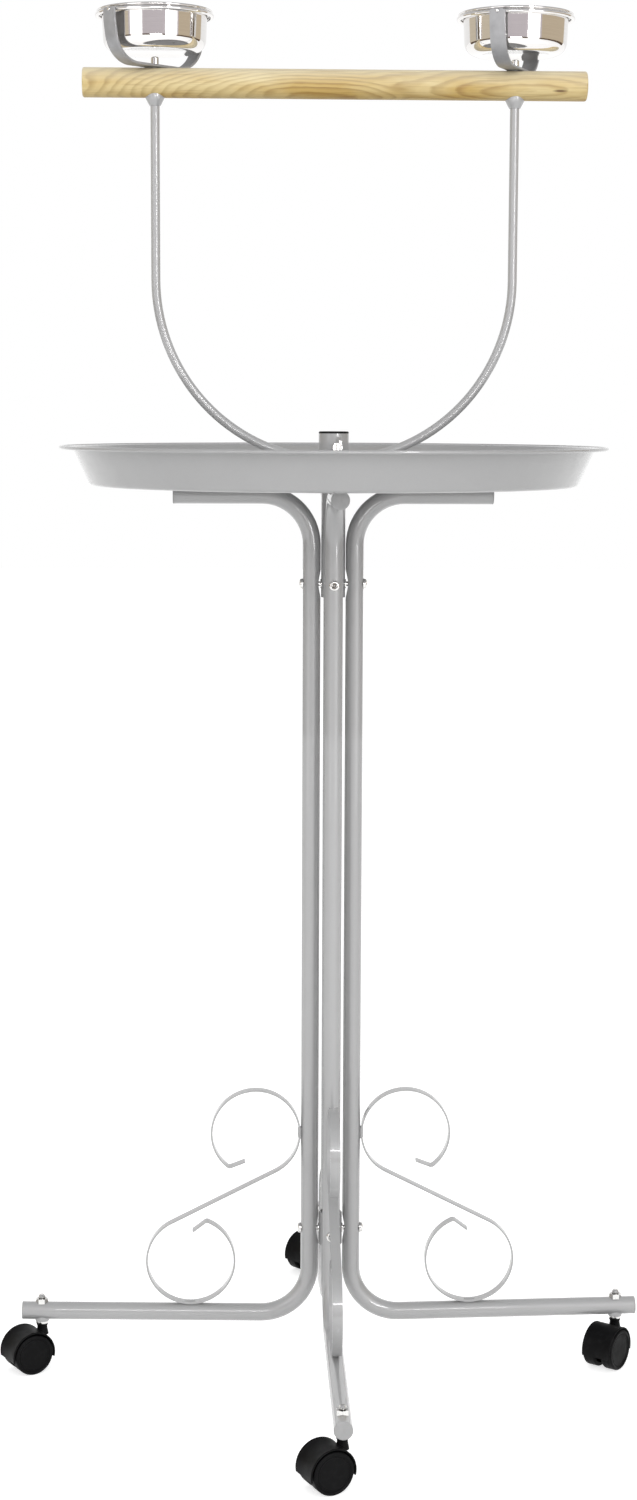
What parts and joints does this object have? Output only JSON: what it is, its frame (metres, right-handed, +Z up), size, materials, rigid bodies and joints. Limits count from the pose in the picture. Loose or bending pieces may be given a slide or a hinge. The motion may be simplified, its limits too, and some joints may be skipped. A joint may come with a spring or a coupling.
{
  "type": "parrot play stand",
  "caption": "Floor stand for a parrot: casters under bent tube legs with scrolls, a round tray, and a wooden perch on a U-shaped hanger with a food cup over each end.",
  "frame": {"origin": "on the floor, straight under the centre post", "axes": "+Z up; +X along the perch to the viewer's right; -Y towards the front, where the sleeve's thumb screw points"},
  "size_m": [0.602, 0.5919, 1.248],
  "materials": {
    "painted_frame": "smooth light grey paint over steel tube",
    "painted_tray": "smooth light grey paint over sheet steel",
    "perch_wood": "smooth bare hardwood with a lengthwise grain",
    "cup_steel": "mirror polished stainless steel",
    "holder_steel": "satin steel",
    "zinc_fasteners": "bright zinc plate",
    "caster_plastic": "black moulded nylon",
    "cap_plastic": "grey moulded plastic",
    "sleeve_cap_plastic": "black moulded plastic",
    "axle_steel": "plain steel pin"
  },
  "bodies": {
    "frame": {"right_leg_tube": "painted_frame", "rear_leg_tube": "painted_frame", "left_leg_tube": "painted_frame", "front_leg_tube": "painted_frame", "right_scroll": "painted_frame", "rear_scroll": "painted_frame", "left_scroll": "painted_frame", "front_scroll": "painted_frame", "centre_post": "painted_frame", "lower_connector": "painted_frame", "upper_frame_screws": "zinc_fasteners", "lower_frame_screws": "zinc_fasteners", "upper_threaded_inserts": "zinc_fasteners", "lower_threaded_inserts": "zinc_fasteners", "arm_end_caps": "cap_plastic", "leg_end_caps": "cap_plastic", "caster_stems": "zinc_fasteners", "stem_nuts": "zinc_fasteners", "stem_washers": "zinc_fasteners"},
    "tray": {"tray_pan": "painted_tray"},
    "hanger": {"hanger_sleeve": "painted_frame", "sleeve_cap": "sleeve_cap_plastic", "right_hanger_rod": "painted_frame", "left_hanger_rod": "painted_frame", "perch_dowel": "perch_wood", "perch_ferrules": "painted_frame", "holder_nuts": "zinc_fasteners"},
    "sleeve_screw": {"thumb_screw": "zinc_fasteners"},
    "left_holder": {"left_holder_strap": "holder_steel", "left_holder_hoop": "cup_steel", "left_holder_rivets": "zinc_fasteners"},
    "left_bowl": {"left_cup": "cup_steel"},
    "right_holder": {"right_holder_strap": "holder_steel", "right_holder_hoop": "cup_steel", "right_holder_rivets": "zinc_fasteners"},
    "right_bowl": {"right_cup": "cup_steel"},
    "right_caster": {"right_caster_housing": "caster_plastic", "right_caster_axle": "axle_steel"},
    "right_near_wheel": {"right_caster_near_wheel": "caster_plastic"},
    "right_far_wheel": {"right_caster_far_wheel": "caster_plastic"},
    "rear_caster": {"rear_caster_housing": "caster_plastic", "rear_caster_axle": "axle_steel"},
    "rear_near_wheel": {"rear_caster_near_wheel": "caster_plastic"},
    "rear_far_wheel": {"rear_caster_far_wheel": "caster_plastic"},
    "left_caster": {"left_caster_housing": "caster_plastic", "left_caster_axle": "axle_steel"},
    "left_near_wheel": {"left_caster_near_wheel": "caster_plastic"},
    "left_far_wheel": {"left_caster_far_wheel": "caster_plastic"},
    "front_caster": {"front_caster_housing": "caster_plastic", "front_caster_axle": "axle_steel"},
    "front_near_wheel": {"front_caster_near_wheel": "caster_plastic"},
    "front_far_wheel": {"front_caster_far_wheel": "caster_plastic"}
  },
  "joints": [
    {"name": "hanger_lift", "type": "slide", "parent": "frame", "child": "hanger", "axis": [0, 0, 1], "range_m": [0, 0.12]},
    {"name": "tray_lift", "type": "slide", "parent": "frame", "child": "tray", "axis": [0, 0, 1], "range_m": [0, 0.06]},
    {"name": "sleeve_screw_turn", "type": "hinge", "parent": "hanger", "child": "sleeve_screw", "pos_m": [0, 0, 0.866], "axis": [0.1564, -0.9877, 0], "range_deg": [0, 360]},
    {"name": "left_holder_turn", "type": "hinge", "parent": "hanger", "child": "left_holder", "pos_m": [-0.16, 0, 1.2], "axis": [0, 0, 1], "continuous": true},
    {"name": "left_cup_lift", "type": "slide", "parent": "left_holder", "child": "left_bowl", "axis": [0, 0, 1], "range_m": [0, 0.05]},
    {"name": "right_holder_turn", "type": "hinge", "parent": "hanger", "child": "right_holder", "pos_m": [0.16, 0, 1.2], "axis": [0, 0, 1], "continuous": true},
    {"name": "right_cup_lift", "type": "slide", "parent": "right_holder", "child": "right_bowl", "axis": [0, 0, 1], "range_m": [0, 0.05]},
    {"name": "right_swivel", "type": "hinge", "parent": "frame", "child": "right_caster", "pos_m": [0.272, 0, 0.045], "axis": [0, 0, 1], "continuous": true},
    {"name": "right_near_wheel_spin", "type": "hinge", "parent": "right_caster", "child": "right_near_wheel", "pos_m": [0.26261, -0.01233, 0.019], "axis": [0.7955, -0.606, 0], "continuous": true},
    {"name": "right_far_wheel_spin", "type": "hinge", "parent": "right_caster", "child": "right_far_wheel", "pos_m": [0.26261, -0.01233, 0.019], "axis": [0.7955, -0.606, 0], "continuous": true},
    {"name": "rear_swivel", "type": "hinge", "parent": "frame", "child": "rear_caster", "pos_m": [0, 0.272, 0.045], "axis": [0, 0, 1], "continuous": true},
    {"name": "rear_near_wheel_spin", "type": "hinge", "parent": "rear_caster", "child": "rear_near_wheel", "pos_m": [-0.01139, 0.26149, 0.019], "axis": [0.6782, -0.7349, 0], "continuous": true},
    {"name": "rear_far_wheel_spin", "type": "hinge", "parent": "rear_caster", "child": "rear_far_wheel", "pos_m": [-0.01139, 0.26149, 0.019], "axis": [0.6782, -0.7349, 0], "continuous": true},
    {"name": "left_swivel", "type": "hinge", "parent": "frame", "child": "left_caster", "pos_m": [-0.272, 0, 0.045], "axis": [0, 0, 1], "continuous": true},
    {"name": "left_near_wheel_spin", "type": "hinge", "parent": "left_caster", "child": "left_near_wheel", "pos_m": [-0.28533, -0.00791, 0.019], "axis": [0.5105, -0.8599, 0], "continuous": true},
    {"name": "left_far_wheel_spin", "type": "hinge", "parent": "left_caster", "child": "left_far_wheel", "pos_m": [-0.28533, -0.00791, 0.019], "axis": [0.5105, -0.8599, 0], "continuous": true},
    {"name": "front_swivel", "type": "hinge", "parent": "frame", "child": "front_caster", "pos_m": [0, -0.272, 0.045], "axis": [0, 0, 1], "continuous": true},
    {"name": "front_near_wheel_spin", "type": "hinge", "parent": "front_caster", "child": "front_near_wheel", "pos_m": [-0.01399, -0.27867, 0.019], "axis": [0.4305, -0.9026, 0], "continuous": true},
    {"name": "front_far_wheel_spin", "type": "hinge", "parent": "front_caster", "child": "front_far_wheel", "pos_m": [-0.01399, -0.27867, 0.019], "axis": [0.4305, -0.9026, 0], "continuous": true}
  ],
  "couplings": [
    {"joint": "tray_lift", "follows": "hanger_lift", "ratio": 0.5}
  ]
}
